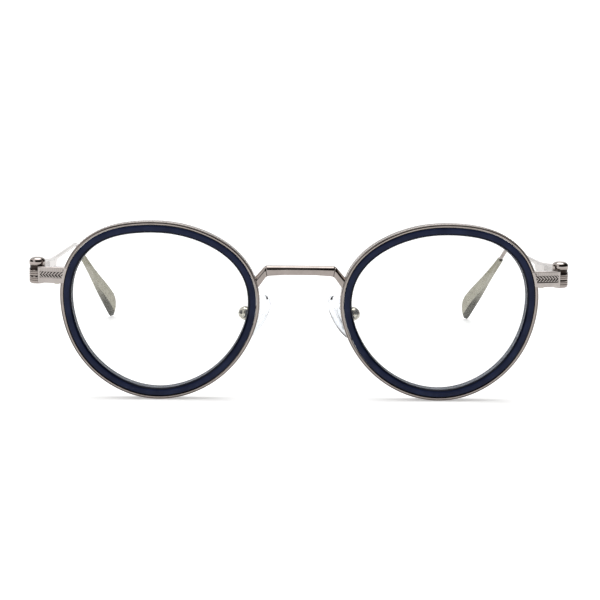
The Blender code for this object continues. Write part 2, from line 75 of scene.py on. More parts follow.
# Rim outline, as in the CAD: mean radius, then (waves, height, turn in degrees).
RADIUS = 20.89
WAVES = ((2, 1.303, 9.3), (3, 0.799, 37.5), (4, 0.08, 44.7), (5, 0.126, 30.6), (6, 0.083, -21.5))
RING_WIDTH = 1.97
WIRE_OUTER = 2.88
SPLIT_ANGLE = 19.5
SPLIT_HALF = 0.35
BEAD_PITCH = 0.88
BEAD_STEPS = 8
BEAD_HEIGHT = 0.18
CHANNEL_FLOOR = 2.76

LENS_FRONT, LENS_BACK = 1.25, 3.05
LENS_CROWN = 1.6

# Hinge: bore for the pin, running gap, height of the temple's knuckle, depth of the turned grooves.
PIN_BORE = 0.67
KNUCKLE_GAP = 0.06
KNUCKLE_HEIGHT = 1.46
GROOVE_DEPTH = 0.07


# ---------------------------------------------------------------- shape helpers

def clamped(value):
    return min(1.0, max(0.0, value))


def rim_point(angle, offset):
    """x and z of the rim outline from its centre, at an angle in radians, moved out by offset."""
    radius = RADIUS
    slope = 0.0
    for waves, height, turn in WAVES:
        phase = waves * (angle - radians(turn))
        radius += height * cos(phase)
        slope -= waves * height * sin(phase)
    length = hypot(radius, slope)
    nx = (radius * cos(angle) + slope * sin(angle)) / length
    nz = (radius * sin(angle) - slope * cos(angle)) / length
    return radius * cos(angle) + offset * nx, radius * sin(angle) + offset * nz


def lens_centre(word, side):
    """Where the outline's centre lies, from the box of the CAD inner ring."""
    low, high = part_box(f"{word}_inner_ring")
    edge = [rim_point(radians(a), RING_WIDTH) for a in range(360)]
    outer = (high.x if side > 0 else -low.x) / MM
    return outer - max(x for x, z in edge), low.z / MM - min(z for x, z in edge)


CENTRE_X, CENTRE_Z = lens_centre("left", 1)


def even_angles(start, end, count):
    """Angles in degrees that split the rim into steps of equal length, first and last included."""
    fine = np.linspace(start, end, 1441)
    points = np.array([rim_point(radians(a), WIRE_OUTER) for a in fine])
    steps = np.hypot(*np.diff(points, axis=0).T)
    run = np.concatenate(([0.0], np.cumsum(steps)))
    return np.interp(np.linspace(0, run[-1], count), run, fine), run[-1]


def make(name, verts, faces, looks, marks=None, sharp=38.0, patina_and_painted_shade=None):
    """Mesh object in metres with outward faces, smooth except at edges sharper than sharp."""
    data = bpy.data.meshes.new(name)
    data.from_pydata([tuple(c * MM for c in v) for v in verts], [], faces)
    for look in looks:
        data.materials.append(look)
    if marks is not None:
        data.polygons.foreach_set("material_index", marks)
    if patina_and_painted_shade is not None:
        layer = data.attributes.new("patina_and_painted_shade", "FLOAT", "POINT")
        layer.data.foreach_set("value", patina_and_painted_shade)
    bm = bmesh.new()
    bm.from_mesh(data)
    bmesh.ops.recalc_face_normals(bm, faces=bm.faces)
    bm.to_mesh(data)
    bm.free()
    data.shade_smooth()
    data.set_sharp_from_angle(angle=radians(sharp))
    obj = bpy.data.objects.new(name, data)
    bpy.context.scene.collection.objects.link(obj)
    return obj


def tube(name, rings, looks, closed=False, ring_marks=None, sharp=38.0, patina_and_painted_shade=None):
    """Skin over rings of equal length; the ends are joined or capped."""
    count, size = len(rings), len(rings[0])
    verts = [point for ring in rings for point in ring]
    faces, marks = [], []
    for i in range(count if closed else count - 1):
        a, b = i * size, ((i + 1) % count) * size
        for j in range(size):
            k = (j + 1) % size
            faces.append((a + j, a + k, b + k, b + j))
            marks.append(ring_marks[j] if ring_marks else 0)
    if not closed:
        faces += [tuple(range(size)), tuple(range((count - 1) * size, count * size))]
        marks += [0, 0]
    return make(name, verts, faces, looks, marks, sharp, patina_and_painted_shade)


def capped_faces(steps, rows):
    """Faces over rows of steps points, closed by a first and a last point."""
    last = 1 + rows * steps
    faces = []
    for i in range(steps):
        j = (i + 1) % steps
        faces.append((0, 1 + i, 1 + j))
        for row in range(rows - 1):
            a, b = 1 + row * steps, 1 + (row + 1) * steps
            faces.append((a + i, b + i, b + j, a + j))
        faces.append((last, last - steps + j, last - steps + i))
    return faces


def lathe(name, profile, place, axes, looks, steps):
    """Profile of (radius, height) turned about the third axis at place; it starts and ends on the axis."""
    u, v, w = axes
    verts = [place + w * profile[0][1]]
    for r, h in profile[1:-1]:
        for i in range(steps):
            angle = tau * i / steps
            verts.append(place + u * (r * cos(angle)) + v * (r * sin(angle)) + w * h)
    verts.append(place + w * profile[-1][1])
    return make(name, verts, capped_faces(steps, len(profile) - 2), looks)


UPRIGHT = (Vector((1, 0, 0)), Vector((0, 1, 0)), Vector((0, 0, 1)))
COLLAR_STEPS = 64


def collar(name, section, place, looks, ring_marks):
    """Bored ring: a closed section of (radius, height) turned about the upright axis at place."""
    rings = []
    for i in range(COLLAR_STEPS):
        angle = tau * i / COLLAR_STEPS
        spoke = Vector((cos(angle), sin(angle), 0))
        rings.append([place + spoke * r + Vector((0, 0, h)) for r, h in section])
    return tube(name, rings, looks, closed=True, ring_marks=ring_marks)


def smooth_line(points, count):
    """Corner-cut polyline through the given ends, resampled to count equal steps, and its length."""
    line = [np.array(p, float) for p in points]
    for _ in range(3):
        cut = [line[0]]
        for a, b in zip(line, line[1:]):
            cut += [a * 0.75 + b * 0.25, a * 0.25 + b * 0.75]
        line = cut + [line[-1]]
    line = np.array(line)
    run = np.concatenate(([0.0], np.cumsum(np.linalg.norm(np.diff(line, axis=0), axis=1))))
    stops = np.linspace(0, run[-1], count)
    return np.stack([np.interp(stops, run, line[:, k]) for k in range(line.shape[1])], 1), run[-1]


def round_wire(name, points, radius, looks, sides=20):
    """Round wire with softly rounded ends along close points."""
    path = [Vector(p) for p in points]
    rings = []
    side = Vector((0.31, 0.17, 0.93))
    last = len(path) - 1
    for i, p in enumerate(path):
        ahead = (path[min(i + 1, last)] - path[max(i - 1, 0)]).normalized()
        side = (side - ahead * side.dot(ahead)).normalized()
        other = ahead.cross(side)
        inward = ahead * (radius * ((i == 0) - (i == last)))
        sizes = [(0.55, 0.0), (0.86, 0.12), (1.0, 0.4)] if i in (0, last) else [(1.0, 0.0)]
        for share, inset in reversed(sizes) if i == last else sizes:
            rings.append([p + inward * inset + (side * cos(tau * j / sides) + other * sin(tau * j / sides))
                          * (radius * share) for j in range(sides)])
    return tube(name, rings, looks, sharp=60)


def mount(piece, body, slot, *nodes):
    """Ride on a body and stand for the CAD nodes, which it hides; the slot argument is not used."""
    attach(piece, body)
    if nodes:
        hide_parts(*nodes)


# ---------------------------------------------------------------- materials

def new_material(name):
    made = bpy.data.materials.new(name)
    made.use_nodes = True
    nodes, links = made.node_tree.nodes, made.node_tree.links
    return made, nodes, links, nodes["Principled BSDF"]


def noise(nodes, links, scale, detail=3.0, stretch=None):
    """Noise in object space; stretch scales the axes first."""
    where = nodes.new("ShaderNodeTexCoord")
    made = nodes.new("ShaderNodeTexNoise")
    made.inputs["Scale"].default_value = scale
    made.inputs["Detail"].default_value = detail
    source = where.outputs["Object"]
    if stretch:
        mapping = nodes.new("ShaderNodeMapping")
        mapping.inputs["Scale"].default_value = stretch
        links.new(source, mapping.inputs["Vector"])
        source = mapping.outputs["Vector"]
    links.new(source, made.inputs["Vector"])
    return made.outputs["Fac"]


def ramp(nodes, links, source, low, high, start=0.35, end=0.65):
    made = nodes.new("ShaderNodeValToRGB")
    made.color_ramp.elements[0].position = start
    made.color_ramp.elements[0].color = (*low, 1.0)
    made.color_ramp.elements[1].position = end
    made.color_ramp.elements[1].color = (*high, 1.0)
    links.new(source, made.inputs["Fac"])
    return made.outputs["Color"]


def spread(nodes, links, source, low, high):
    made = nodes.new("ShaderNodeMapRange")
    made.inputs["To Min"].default_value = low
    made.inputs["To Max"].default_value = high
    links.new(source, made.inputs["Value"])
    return made.outputs["Result"]


def bump(nodes, links, source, shader, strength, distance):
    made = nodes.new("ShaderNodeBump")
    made.inputs["Strength"].default_value = strength
    made.inputs["Distance"].default_value = distance
    links.new(source, made.inputs["Height"])
    links.new(made.outputs["Normal"], shader.inputs["Normal"])


def patina_and_painted_shade_of(nodes):
    """The mesh's tone attribute: 0 in hollows, where it gives patina, low for painted shade on the acetate's
    edges and the tip's lower bevel, and 1 on open surface.
    """
    layer = nodes.new("ShaderNodeAttribute")
    layer.attribute_name = "patina_and_painted_shade"
    return layer.outputs["Fac"]


def blend_colours(nodes, links, share, first, second):
    """first where share is 0 and second where it is 1."""
    made = nodes.new("ShaderNodeMix")
    made.data_type = "RGBA"
    links.new(share, made.inputs[0])
    for socket, colour in ((made.inputs[6], first), (made.inputs[7], second)):
        if isinstance(colour, tuple):
            socket.default_value = (*colour, 1.0)
        else:
            links.new(colour, socket)
    return made.outputs[2]


def metal(name, low, high, rough, grain=6000.0, wear=None):
    """Antique metal: cloudy tone, fine grain, and patina where the relief attribute is low."""
    made, nodes, links, shader = new_material(name)
    shader.inputs["Metallic"].default_value = 1.0
    tone = ramp(nodes, links, noise(nodes, links, 420.0, 4.0), low, high)
    if wear:
        tone = blend_colours(nodes, links, patina_and_painted_shade_of(nodes), wear, tone)
    links.new(tone, shader.inputs["Base Color"])
    fine = noise(nodes, links, grain, 2.0)
    links.new(spread(nodes, links, fine, rough[0], rough[1]), shader.inputs["Roughness"])
    bump(nodes, links, fine, shader, 0.08, 0.00002)
    return made


PEWTER = metal("antique_pewter", (0.285, 0.250, 0.230), (0.325, 0.287, 0.266), (0.06, 0.11))
POLISHED = metal("polished_pewter", (0.36, 0.32, 0.30), (0.42, 0.375, 0.35), (0.035, 0.07), 3500.0)
ENGRAVED = metal("engraved_pewter", (0.295, 0.259, 0.239), (0.34, 0.30, 0.279), (0.07, 0.13),
                 wear=(0.014, 0.011, 0.010))
CHASED = metal("chased_pewter", (0.38, 0.345, 0.325), (0.43, 0.392, 0.372), (0.06, 0.11),
               wear=(0.017, 0.014, 0.013))
GROOVE = metal("groove_patina", (0.10, 0.084, 0.077), (0.15, 0.128, 0.118), (0.3, 0.45))
PATINA = metal("recess_patina", (0.030, 0.023, 0.020), (0.055, 0.044, 0.039), (0.25, 0.4))
STEEL = metal("screw_steel", (0.36, 0.345, 0.29), (0.45, 0.43, 0.365), (0.05, 0.10))


def satin_metal(name):
    """Satin champagne metal with fine lines along the temple, with painted shade in a darker tone where the
    mesh's tone attribute is low.
    """
    made, nodes, links, shader = new_material(name)
    shader.inputs["Metallic"].default_value = 1.0
    cloud = noise(nodes, links, 260.0, 3.0)
    tone = ramp(nodes, links, cloud, (0.325, 0.314, 0.268), (0.365, 0.353, 0.304))
    # Painted shade: this darker tone stands in for the shadowed floor that the tip's lower bevel reflects.
    tone = blend_colours(nodes, links, patina_and_painted_shade_of(nodes), (0.085, 0.083, 0.070), tone)
    links.new(tone, shader.inputs["Base Color"])
    shader.inputs["Specular Tint"].default_value = (0.5, 0.49, 0.43, 1.0)
    brushed = noise(nodes, links, 1500.0, 2.0, (1.0, 0.06, 1.0))
    links.new(spread(nodes, links, brushed, 0.24, 0.32), shader.inputs["Roughness"])
    bump(nodes, links, brushed, shader, 0.03, 0.00001)
    return made


TIP = satin_metal("champagne_satin")


def acetate(name, low, high, gloss):
    """Navy acetate: faint cloudy layers, with painted shade in near black where the mesh's tone attribute is
    low.
    """
    made, nodes, links, shader = new_material(name)
    cloud = noise(nodes, links, 260.0, 5.0, (1.0, 0.4, 1.0))
    tone = ramp(nodes, links, cloud, low, high, 0.3, 0.7)
    # Painted shade: near black blended in where the tone attribute is low.
    tone = blend_colours(nodes, links, patina_and_painted_shade_of(nodes), (0.002, 0.003, 0.008), tone)
    links.new(tone, shader.inputs["Base Color"])
    fine = noise(nodes, links, 2600.0, 3.0)
    links.new(spread(nodes, links, fine, 0.05, 0.14), shader.inputs["Roughness"])
    shader.inputs["IOR"].default_value = 1.49
    shader.inputs["Specular IOR Level"].default_value = gloss
    bump(nodes, links, fine, shader, 0.03, 0.00001)
    return made


ACETATE = acetate("navy_acetate", (0.0095, 0.0135, 0.036), (0.0175, 0.0245, 0.061), 0.09)
# Lighter copy of the navy acetate for the inner wall: a painted reflection of its grey-blue sheen.
ACETATE_PAINTED_REFLECTION = acetate("navy_acetate_wall_painted_reflection", (0.07, 0.08, 0.105), (0.11, 0.122, 0.155), 0.5)


def clear(name, colour, rough, ior, grain, depth):
    """Clear material with a faint uneven gloss."""
    made, nodes, links, shader = new_material(name)
    shader.inputs["Transmission Weight"].default_value = 1.0
    shader.inputs["IOR"].default_value = ior
    low = tuple(c * 0.994 for c in colour)
    links.new(ramp(nodes, links, noise(nodes, links, 120.0), low, colour), shader.inputs["Base Color"])
    fine = noise(nodes, links, grain, 3.0)
    links.new(spread(nodes, links, fine, rough[0], rough[1]), shader.inputs["Roughness"])
    if depth:
        bump(nodes, links, fine, shader, 0.1, depth)
    return made


GLASS = clear("clear_lens", (0.996, 1.0, 0.999), (0.0, 0.006), 1.5, 90.0, 0.0)
SILICONE = clear("clear_silicone", (0.91, 0.93, 0.96), (0.02, 0.06), 1.33, 1500.0, 0.00002)


def nylon():
    """Nearly invisible insert inside the clear pad."""
    made, nodes, links, shader = new_material("pad_core_nylon")
    tone = ramp(nodes, links, noise(nodes, links, 500.0), (0.88, 0.90, 0.92), (0.94, 0.95, 0.96))
    links.new(tone, shader.inputs["Base Color"])
    fine = noise(nodes, links, 3000.0)
    links.new(spread(nodes, links, fine, 0.1, 0.2), shader.inputs["Roughness"])
    shader.inputs["Transmission Weight"].default_value = 1.0
    shader.inputs["IOR"].default_value = 1.03
    bump(nodes, links, fine, shader, 0.1, 0.00002)
    return made


NYLON = nylon()


def ground_edge():
    """Frosted edge of a lens where it sits in the rim."""
    made, nodes, links, shader = new_material("ground_lens_edge")
    fine = noise(nodes, links, 1800.0, 4.0)
    links.new(ramp(nodes, links, fine, (0.30, 0.32, 0.36), (0.44, 0.46, 0.50)), shader.inputs["Base Color"])
    links.new(spread(nodes, links, fine, 0.5, 0.7), shader.inputs["Roughness"])
    bump(nodes, links, fine, shader, 0.2, 0.00002)
    return made


GROUND = ground_edge()


# ---------------------------------------------------------------- rims and lenses

def at(side, x, depth, z):
    return Vector((side * x, FRONT + depth, z))


def ring_point(side, angle, offset, depth):
    x, z = rim_point(radians(angle), offset)
    return at(side, CENTRE_X + x, depth, CENTRE_Z + z)


def build_eyewire(word, side):
    """Rim wire: bright front band, dark groove line, and a beaded channel round the outside."""
    _, length = even_angles(SPLIT_ANGLE, SPLIT_ANGLE + 360, 3)
    steps = round(length / BEAD_PITCH) * BEAD_STEPS
    angles, _ = even_angles(SPLIT_ANGLE + SPLIT_HALF, SPLIT_ANGLE + 360 - SPLIT_HALF, steps + 1)
    front = [(2.03, 0.5, 0), (2.045, 0.33, 0), (2.09, 0.235, 0), (2.17, 0.2, 0), (2.34, 0.185, 0),
             (2.51, 0.2, 0), (2.56, 0.235, 1), (2.585, 0.42, 1), (2.65, 0.42, 1), (2.675, 0.25, 0),
             (2.73, 0.215, 0), (2.79, 0.235, 0), (2.835, 0.3, 0), (2.855, 0.42, 0), (2.86, 1.55, 0),
             (2.84, 1.66, 0), (2.78, 1.7, 1)]
    channel = [(CHANNEL_FLOOR, 1.8 + 1.0 * i / 9, 1) for i in range(10)]
    back = [(2.78, 2.9, 0), (2.84, 2.94, 0), (2.86, 3.05, 0), (2.86, 3.95, 0), (2.835, 4.09, 0),
            (2.74, 4.17, 0), (2.6, 4.2, 0), (2.3, 4.2, 0), (2.13, 4.17, 0), (2.05, 4.09, 0), (2.03, 3.95, 0)]
    section = front + channel + back
    rings, patina_and_painted_shade = [], []
    for i, angle in enumerate(angles):
        along = (i % BEAD_STEPS) / BEAD_STEPS - 0.5
        ring = []
        for offset, depth, _ in section:
            grown = offset
            if 1.75 < depth < 2.85:
                reach = 1 - (along / 0.40) ** 2 - ((depth - 2.3) / 0.52) ** 2
                grown += BEAD_HEIGHT * max(0.0, reach) ** 0.5
            ring.append(ring_point(side, angle, grown, depth))
            patina_and_painted_shade.append(clamped((grown - CHANNEL_FLOOR) / 0.08) if 1.68 < depth < 2.92 else 1.0)
        rings.append(ring)
    marks = [1 if (a[2] and b[2] and a[1] < 1.5) else (2 if 1.6 < a[1] < 2.92 else 0)
             for a, b in zip(section, section[1:] + section[:1])]
    piece = tube(f"{word}_eyewire_visual", rings, (PEWTER, GROOVE, ENGRAVED), ring_marks=marks,
                 patina_and_painted_shade=patina_and_painted_shade)
    mount(piece, "front", "pewter_metal", f"{word}_eyewire")


def build_inner_ring(word, side):
    """Acetate inner rim with a crowned face, a small inner bevel and a rolled back edge; painted shade
    darkens the edges of its front face, and its inner wall is a lighter copy as a painted reflection.
    """
    section = [(1.97, 0.5), (1.965, 0.22), (1.93, 0.11), (1.87, 0.06), (1.7, 0.02), (1.45, 0.0),
               (1.2, 0.0), (0.95, 0.01), (0.75, 0.03), (0.55, 0.06), (0.44, 0.11), (0.1, 0.42),
               (0.025, 0.52), (0.0, 0.62), (0.0, 1.5), (0.7, 2.1), (0.7, 2.2), (0.0, 2.8),
               (0.0, 3.08), (-0.22, 3.2), (-0.22, 3.8), (-0.1, 3.97), (0.2, 4.07), (0.4, 4.1),
               (1.6, 4.1), (1.8, 4.07), (1.93, 3.97), (1.97, 3.8)]
    rings = [[ring_point(side, a, o, d) for o, d in section] for a in np.arange(0, 360, 1.25)]
    # Painted shade: the front face darkens close to its outer and inner edges.
    painted_edge_shade = [0.15 if d < 0.6 and (o > 1.8 or o < 0.5) else 1.0 for o, d in section]
    # Faces of the inner wall take the lighter acetate, a painted reflection.
    marks = [1 if a[0] < 0.03 and b[0] < 0.03 else 0 for a, b in zip(section, section[1:] + section[:1])]
    piece = tube(f"{word}_inner_ring_visual", rings, (ACETATE, ACETATE_PAINTED_REFLECTION), closed=True, sharp=34,
                 ring_marks=marks, patina_and_painted_shade=painted_edge_shade * len(rings))
    mount(piece, "front", "navy_acetate", f"{word}_inner_ring")


def build_lens(word, side):
    """Thin meniscus whose V edge sits in the ring's groove."""
    shares = (0.12, 0.25, 0.38, 0.5, 0.62, 0.73, 0.83, 0.92)
    edge = [(1.0, -0.06, LENS_FRONT), (1.0, -0.06, 1.62), (1.0, 0.62, 2.15), (1.0, -0.06, 2.68),
            (1.0, -0.06, LENS_BACK)]
    rows = [(s, 0.0, LENS_FRONT - LENS_CROWN * (1 - s * s)) for s in shares] + edge
    rows += [(s, 0.0, LENS_BACK - LENS_CROWN * (1 - s * s)) for s in reversed(shares)]
    steps = 144
    verts = [at(side, CENTRE_X, LENS_FRONT - LENS_CROWN, CENTRE_Z)]
    for share, offset, depth in rows:
        for i in range(steps):
            x, z = rim_point(tau * i / steps, offset)
            verts.append(at(side, CENTRE_X + x * share, depth, CENTRE_Z + z * share))
    verts.append(at(side, CENTRE_X, LENS_BACK - LENS_CROWN, CENTRE_Z))
    ground = range(len(shares), len(shares) + len(edge) - 1)
    marks = ([0] + [1 if row in ground else 0 for row in range(len(rows) - 1)] + [0]) * steps
    piece = make(f"{word}_lens_visual", verts, capped_faces(steps, len(rows)), (GLASS, GROUND), marks,
                 sharp=30)
    piece.visible_shadow = False
    mount(piece, "front", "clear_lens", f"{word}_lens")


# ---------------------------------------------------------------- bridge

BRIDGE_CREASE = 6      # station of the crease, counted from the middle
BRIDGE_LANDING = 2.45  # offset on the rim outline where the legs end


def rim_crossing(start, ahead, offset):
    """Where a line in the front plane meets the nose side of a rim outline."""
    def miss(point):
        return abs((CENTRE_X + point[0] - start[0]) * ahead[1] - (CENTRE_Z + point[1] - start[1]) * ahead[0])
    x, z = min((rim_point(radians(a), offset) for a in np.arange(110, 200, 0.2)), key=miss)
    return CENTRE_X + x, CENTRE_Z + z


def bend_line(before, corner, after, reach, steps=8):
    """Points easing round a corner, starting and ending reach away from it."""
    before, corner, after = (np.array(p, float) for p in (before, corner, after))
    a = corner + (before - corner) / np.linalg.norm(before - corner) * reach
    b = corner + (after - corner) / np.linalg.norm(after - corner) * reach
    shares = [i / steps for i in range(steps + 1)]
    return [a * (1 - t) ** 2 + corner * 2 * t * (1 - t) + b * t * t for t in shares]


def build_bridge():
    """Bar with a rounded top edge and a faint arch below, creased where its legs bend down to the rims."""
    low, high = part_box("bridge")
    depth = low.y / MM - FRONT
    top = high.z / MM
    section = [(0.0, 0.35), (0.02, 0.16), (0.07, 0.04), (0.15, 0.0), (0.53, 0.0)]
    for degrees in range(0, 91, 6):
        a = radians(degrees)
        section.append((0.57 + 0.43 * sin(a), 0.95 * (1 - cos(a))))
    section += [(1.0, 1.9), (0.99, 2.15), (0.93, 2.37), (0.85, 2.48), (0.76, 2.5),
                (0.15, 2.5), (0.07, 2.45), (0.02, 2.3), (0.0, 2.1)]
    upper_bend, lower_bend = (8.82, top), (8.45, top - 2.6)
    upper_end = rim_crossing(upper_bend, (0.643, -0.766), BRIDGE_LANDING)
    lower_end = rim_crossing(lower_bend, (0.588, -0.809), BRIDGE_LANDING)
    uppers = [(0, top), (4, top)] + bend_line((0, top), upper_bend, upper_end, 0.75) + [upper_end]
    lowers = ([(0, top - 2.28), (4, top - 2.3)]
              + bend_line((5, top - 2.32), lower_bend, lower_end, 0.75) + [lower_end])
    stations = [(*u, *w, i == BRIDGE_CREASE) for i, (u, w) in enumerate(zip(uppers, lowers))]
    path = [(-ux, uz, -wx, wz, creased) for ux, uz, wx, wz, creased in reversed(stations[1:])] + stations
    rings, patina_and_painted_shade = [], []
    for ux, uz, wx, wz, creased in path:
        ring = []
        for share, d in section:
            x, z = wx + (ux - wx) * share, wz + (uz - wz) * share
            sunk = 0.14 if creased and d < 1.0 and share < 0.98 else 0.0
            ring.append(Vector((x, FRONT + depth + d + sunk, z)))
            patina_and_painted_shade.append(0.2 if creased and d < 1.0 else 1.0)
        rings.append(ring)
    piece = tube("bridge_visual", rings, (ENGRAVED,), sharp=50, patina_and_painted_shade=patina_and_painted_shade)
    mount(piece, "front", "pewter_metal", "bridge")


# ---------------------------------------------------------------- endpieces and hinges

PLATE_HEIGHT = 4.05
PLATE_REACH = 7.4      # from the hinge axis to the rim, before the end follows the rim
PLATE_SEAT = 2.07      # offset on the rim outline where the plate's end lies
PLATE_STATIONS = 190
CHEVRON_PITCH = 0.8
CHEVRON_MIDDLE = 2.21  # heights on the plate, from its lower edge
HATCH_PITCH = 0.45
WEB_OUTLINE = ((-0.4, 3.3), (-0.3, 4.3), (-1.2, 4.9), (-1.75, 4.55), (-2.1, 4.0), (-1.6, 2.9))


def wave(position, pitch):
    """Triangle wave from 0 to 1."""
    share = (position / pitch) % 1.0
    return 1 - abs(2 * share - 1)


def hinge_place(word):
    """Hinge axis: x outwards from the middle, depth, and the height of the joint."""
    place = Vector(JOINTS[f"{word}_temple_fold"]["pos_m"]) / MM
    return abs(place.x), place.y - FRONT, place.z


def outer_reach(word, side, node):
    """How far a node's box reaches outwards from the hinge axis."""
    low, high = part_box(f"{word}_{node}")
    return (high.x if side > 0 else -low.x) / MM - hinge_place(word)[0]


def turned_groove(r, z):
    """Profile of a groove round a knuckle of radius r, from its upper edge down."""
    return [(r, z + 0.09), (r - GROOVE_DEPTH, z + 0.03), (r - GROOVE_DEPTH, z - 0.03), (r, z - 0.09)]


def groove_marks(profile, radius):
    """Marks the floors of the grooves for the second look."""
    floor = radius - GROOVE_DEPTH
    after = profile[1:] + profile[:1]
    return [1 if abs(a[0] - floor) < 0.001 and abs(b[0] - floor) < 0.001 else 0
            for a, b in zip(profile, after)]


def rim_at_height(z):
    """Outer x of the plate's seat on the temple side of the rim, at a height."""
    low, high = -10.0, 60.0
    for _ in range(24):
        middle = (low + high) / 2
        if CENTRE_Z + rim_point(radians(middle), PLATE_SEAT)[1] < z:
            low = middle
        else:
            high = middle
    return CENTRE_X + rim_point(radians(low), PLATE_SEAT)[0]


def chasing(x, hx, run, r):
    """Height and tone of the plate's face: edge rounding, groove, herringbone and vertical hatch."""
    edge = max(0.0, 0.22 - min(r, PLATE_HEIGHT - r)) / 0.22
    height = -0.2 * edge * edge
    inside = clamped((x - hx + 6.75) / 0.1) * clamped((hx - 1.0 - x) / 0.15)
    if 1.34 <= r <= 1.5:
        return height - 0.05 * inside, 1 - 0.3 * inside
    if 1.5 < r < 2.9:
        ridge = clamped((wave(run + abs(r - CHEVRON_MIDDLE), CHEVRON_PITCH) - 0.25) / 0.4)
        deep = 1.0 if r > 2.55 else 0.72
        return height + (-0.13 + 0.12 * ridge) * inside, 1 - inside * (1 - ridge) * deep
    if 2.9 <= r < 3.74:
        fine = wave(run, HATCH_PITCH)
        return height + (-0.05 + 0.02 * fine) * inside, 1 - inside * 0.2 * (1 - fine)
    return height, 1.0


def build_plate(word, side, bottom):
    """Engraved plate that starts along the rim and curves back to the hinge barrel."""
    hx, _, _ = hinge_place(word)
    start_x = hx - PLATE_REACH
    front_line = ((start_x, 0.02), (hx - 6.9, 0.1), (hx - 1.9, 1.5), (hx - 1.15, 1.78), (hx - 0.6, 2.15),
                  (hx - 0.38, 2.9), (hx - 0.26, 3.69))
    back_line = ((start_x, 0.6), (hx - 6.4, 1.6), (hx - 3.2, 2.55), (hx - 2.4, 3.6), (hx - 1.9, 4.6))
    outer, length = smooth_line(front_line, PLATE_STATIONS)
    inner, _ = smooth_line(back_line, PLATE_STATIONS)
    rows = np.concatenate((np.linspace(0.0, 0.3, 5), np.linspace(0.36, 1.3, 6), np.linspace(1.34, 1.5, 5),
                           np.linspace(1.56, 2.86, 21), np.linspace(2.92, 3.72, 10),
                           np.linspace(3.76, PLATE_HEIGHT, 6)))
    last = PLATE_STATIONS - 1

    def seated(x, z):
        """x moved so that the plate's end follows the rim."""
        share = (x - start_x) / 3.0
        return x + (rim_at_height(z) - start_x) * (1 - share) if share < 1 else x

    rings, patina_and_painted_shade = [], []
    for i in range(PLATE_STATIONS):
        x, y = outer[i]
        ahead = outer[min(i + 1, last)] - outer[max(i - 1, 0)]
        ahead /= np.linalg.norm(ahead)
        ring = []
        for r in rows:
            height, shade = chasing(x, hx, length * i / last, r)
            z = bottom + r
            ring.append(at(side, seated(x, z) + ahead[1] * height, y - ahead[0] * height, z))
            patina_and_painted_shade.append(shade)
        x, y = inner[i]
        for r, inset in ((PLATE_HEIGHT, 0.12), (PLATE_HEIGHT - 0.12, 0.0), (0.12, 0.0), (0.0, 0.12)):
            ring.append(at(side, seated(x, bottom + r), y - inset, bottom + r))
            patina_and_painted_shade.append(1.0)
        rings.append(ring)
    piece = tube(f"{word}_endpiece_plate", rings, (CHASED,), patina_and_painted_shade=patina_and_painted_shade, sharp=55)
    mount(piece, "front", "pewter_metal", f"{word}_endpiece")


def build_endpiece(word, side):
    """Engraved plate, the two fixed knuckles, and the webs that join them to it."""
    hx, hy, joint = hinge_place(word)
    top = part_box(f"{word}_hinge_cap")[0].z / MM - KNUCKLE_GAP
    bottom = top - PLATE_HEIGHT
    build_plate(word, side, bottom)
    axis = at(side, hx, hy, 0)
    r = outer_reach(word, side, "endpiece")
    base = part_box(f"{word}_endpiece")[0].z / MM
    roof = joint - KNUCKLE_GAP
    profile = [(PIN_BORE, roof), (r - 0.14, roof), (r - 0.03, roof - 0.05), (r, roof - 0.15)]
    profile += turned_groove(r, roof - 0.62) + turned_groove(r, roof - 1.12)
    profile += [(r, base + 0.75), (r - 0.05, base + 0.5), (r - 0.2, base + 0.24), (r - 0.5, base + 0.06),
                (r - 0.9, base), (PIN_BORE, base)]
    piece = collar(f"{word}_low_knuckle", profile, axis, (PEWTER, PATINA), groove_marks(profile, r))
    mount(piece, "front", "pewter_metal")
    floor = roof + KNUCKLE_HEIGHT + 2 * KNUCKLE_GAP
    profile = [(PIN_BORE, top), (r - 0.28, top), (r - 0.2, top - 0.08), (r - 0.2, floor + 0.35),
               (r - 0.05, floor + 0.28), (r - 0.02, floor + 0.08), (r - 0.1, floor), (PIN_BORE, floor)]
    marks = [0, 1, 1, 1, 1, 0, 0, 0]
    piece = collar(f"{word}_high_knuckle", profile, axis, (PEWTER, PATINA), marks)
    mount(piece, "front", "pewter_metal")
    for place, z_low, z_high in (("low", bottom + 0.12, roof), ("high", floor, top - 0.12)):
        rings = [[at(side, hx + x, y, z) for x, y in WEB_OUTLINE] for z in (z_low, z_high)]
        mount(tube(f"{word}_hinge_web_{place}", rings, (PEWTER,)), "front", "pewter_metal")


def build_hinge_cap(word, side):
    """Polished domed cap over the hinge screw's head."""
    low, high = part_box(f"{word}_hinge_cap")
    axis = Vector(((low.x + high.x) / 2, (low.y + high.y) / 2, 0)) / MM
    base, top = low.z / MM, high.z / MM
    r = (high.x - low.x) / 2 / MM
    profile = [(0, top)]
    for degrees in range(6, 90, 4):
        a = radians(degrees)
        profile.append((r * sin(a) ** 0.78, base + 0.6 + (top - base - 0.6) * cos(a) ** 0.78))
    profile += [(r, base + 0.55), (r, base + 0.38), (r - 0.09, base + 0.33), (r - 0.09, base + 0.22),
                (r, base + 0.17), (r - 0.02, base + 0.05), (r - 0.1, base), (1.2, base), (1.2, base + 0.72),
                (0, base + 0.72)]
    piece = lathe(f"{word}_hinge_cap_visual", profile, axis, UPRIGHT, (POLISHED,), 72)
    mount(piece, "front", "pewter_metal", f"{word}_hinge_cap")


# ---------------------------------------------------------------- temples

